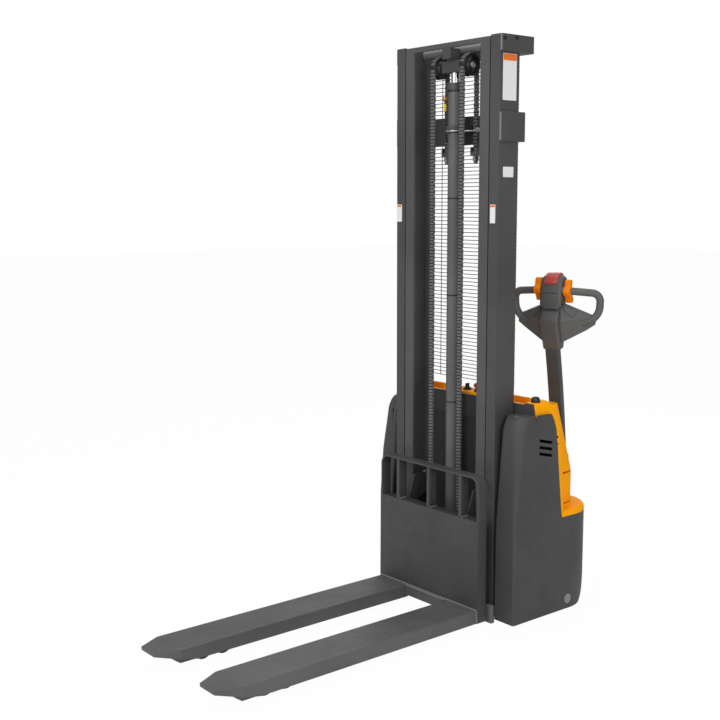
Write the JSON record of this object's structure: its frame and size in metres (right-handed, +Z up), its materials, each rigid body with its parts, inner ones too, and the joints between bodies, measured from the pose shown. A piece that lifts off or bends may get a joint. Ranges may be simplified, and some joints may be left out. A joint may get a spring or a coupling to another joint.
{
  "type": "electric pallet stacker",
  "caption": "Walk-behind electric stacker: two-stage mast with chains, forks over support legs, steered drive wheel and long tiller.",
  "frame": {"origin": "on the floor, under the middle of the box that the truck and its turned tiller fill", "axes": "+Z up along the mast, forks point along -Y, +X to the side of the drive wheel"},
  "size_m": [0.8, 1.7414, 2.24],
  "materials": {
    "dark_paint": "satin textured dark grey paint",
    "body_grey": "fine textured dark grey moulding",
    "orange": "smooth orange moulding",
    "steel": "bare steel",
    "chrome": "hard chrome rod",
    "chain": "oiled dark chain",
    "wheel": "polyurethane tread",
    "grip": "moulded grip",
    "red": "red button"
  },
  "bodies": {
    "truck": {"outer_mast": "dark_paint", "lift_cylinder": "dark_paint", "rear_chains": "chain", "chain_anchors": "steel", "cylinder_strap": "steel", "mesh_guard": "dark_paint", "base_frame": "dark_paint", "support_legs": "dark_paint", "side_panel_left": "body_grey", "side_panel_right": "body_grey", "rear_panel": "body_grey", "deck_cover": "orange", "hood": "orange", "dash_panel": "body_grey", "battery": "body_grey", "emergency_stop": "red", "control_knobs": "grip"},
    "inner_stage": {"inner_mast": "dark_paint", "mast_rollers": "steel", "crosshead": "dark_paint", "piston_rod": "chrome", "chain_wraps": "chain", "front_chains": "chain"},
    "pulleys": {"chain_pulleys": "steel"},
    "carriage": {"fork_left": "dark_paint", "fork_right": "dark_paint", "carriage_plate": "dark_paint", "heel_bar": "dark_paint", "load_guard": "dark_paint", "carriage_rollers": "steel"},
    "steering": {"turret": "orange", "drive_unit": "steel"},
    "drive": {"drive_wheel": "wheel"},
    "tiller": {"tiller_arm": "dark_paint", "tiller_head": "grip", "hand_loops": "grip", "throttle_wings": "orange", "belly_button": "red"},
    "castor": {"castor_yoke": "steel"},
    "castor_roll": {"castor_wheel": "wheel"},
    "roller_left_front": {"load_roller_left_front": "wheel"},
    "roller_left_rear": {"load_roller_left_rear": "wheel"},
    "roller_right_front": {"load_roller_right_front": "wheel"},
    "roller_right_rear": {"load_roller_right_rear": "wheel"}
  },
  "joints": [
    {"name": "mast_lift", "type": "slide", "parent": "truck", "child": "inner_stage", "axis": [0, 0, 1], "range_m": [0, 1.6], "deforming": ["rear_chains"]},
    {"name": "carriage_lift", "type": "slide", "parent": "inner_stage", "child": "carriage", "axis": [0, 0, 1], "range_m": [0, 1.6], "deforming": ["front_chains"]},
    {"name": "pulley_spin", "type": "hinge", "parent": "inner_stage", "child": "pulleys", "pos_m": [0, 0.4103, 2.15], "axis": [1, 0, 0], "continuous": true},
    {"name": "steer", "type": "hinge", "parent": "truck", "child": "steering", "pos_m": [0.245, 0.6993, 0.45], "axis": [0, 0, 1], "range_deg": [-95, 55]},
    {"name": "drive_spin", "type": "hinge", "parent": "steering", "child": "drive", "pos_m": [0.245, 0.6993, 0.115], "axis": [0.9397, 0.342, 0], "continuous": true},
    {"name": "tiller_tilt", "type": "hinge", "parent": "steering", "child": "tiller", "pos_m": [0.1937, 0.84025, 0.59], "axis": [-0.9397, -0.342, 0], "range_deg": [0, 70], "stiffness_Nm_per_rad": 40, "springref_deg": -17.19},
    {"name": "castor_swivel", "type": "hinge", "parent": "truck", "child": "castor", "pos_m": [-0.245, 0.6993, 0.24], "axis": [0, 0, 1], "continuous": true},
    {"name": "castor_spin", "type": "hinge", "parent": "castor", "child": "castor_roll", "pos_m": [-0.245, 0.7393, 0.07], "axis": [1, 0, 0], "continuous": true},
    {"name": "roller_spin_left_front", "type": "hinge", "parent": "truck", "child": "roller_left_front", "pos_m": [-0.1975, -0.6607, 0.037], "axis": [1, 0, 0], "continuous": true},
    {"name": "roller_spin_left_rear", "type": "hinge", "parent": "truck", "child": "roller_left_rear", "pos_m": [-0.1975, -0.5747, 0.037], "axis": [1, 0, 0], "continuous": true},
    {"name": "roller_spin_right_front", "type": "hinge", "parent": "truck", "child": "roller_right_front", "pos_m": [0.1975, -0.6607, 0.037], "axis": [1, 0, 0], "continuous": true},
    {"name": "roller_spin_right_rear", "type": "hinge", "parent": "truck", "child": "roller_right_rear", "pos_m": [0.1975, -0.5747, 0.037], "axis": [1, 0, 0], "continuous": true}
  ],
  "couplings": [
    {"joint": "carriage_lift", "follows": "mast_lift", "ratio": 1}
  ]
}
